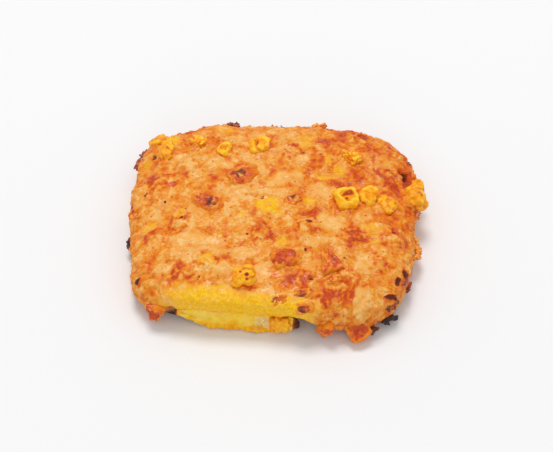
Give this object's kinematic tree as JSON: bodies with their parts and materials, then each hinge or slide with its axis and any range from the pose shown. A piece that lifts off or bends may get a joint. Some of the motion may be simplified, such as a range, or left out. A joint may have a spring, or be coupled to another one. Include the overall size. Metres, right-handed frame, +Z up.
{
  "type": "pizza slice",
  "caption": "Rounded rectangular slice of thick tray pizza: dough base under a draped blanket of baked cheese set with sweetcorn and ham, cheese run out at the front.",
  "frame": {"origin": "middle of the bounding box's underside, on the flat foot of the dough", "axes": "+X to the slice's right along its longer side, +Y to its back edge, +Z up"},
  "size_m": [0.1182, 0.104, 0.0233],
  "materials": {
    "cheese": "satin",
    "pale_cheese": "satin",
    "dough": "matte",
    "corn": "satin",
    "ham": "satin"
  },
  "bodies": {
    "root": {"cheese_blanket": "cheese", "cheese_tongue": "pale_cheese", "corn_back": "corn", "corn_back_left": "corn", "corn_corner": "corn", "corn_crumbled": "corn", "corn_far_left": "corn", "corn_front": "corn", "corn_left_block": "corn", "corn_on_tongue": "corn", "corn_open": "corn", "corn_pair_left": "corn", "corn_pair_right": "corn", "corn_right_chip": "corn", "corn_right_edge": "corn", "dough_base": "dough", "ham_back_edge": "ham", "ham_blister_left": "ham", "ham_blister_right": "ham", "ham_charred": "ham", "ham_chip_top": "ham", "ham_die_front": "ham", "ham_flake_front": "ham", "ham_left": "ham", "ham_left_edge": "ham", "ham_middle": "ham", "ham_round": "ham", "ham_strip_right": "ham", "ham_wedge_front": "ham", "ham_wedge_left": "ham", "ham_wedge_top": "ham"}
  },
  "joints": []
}
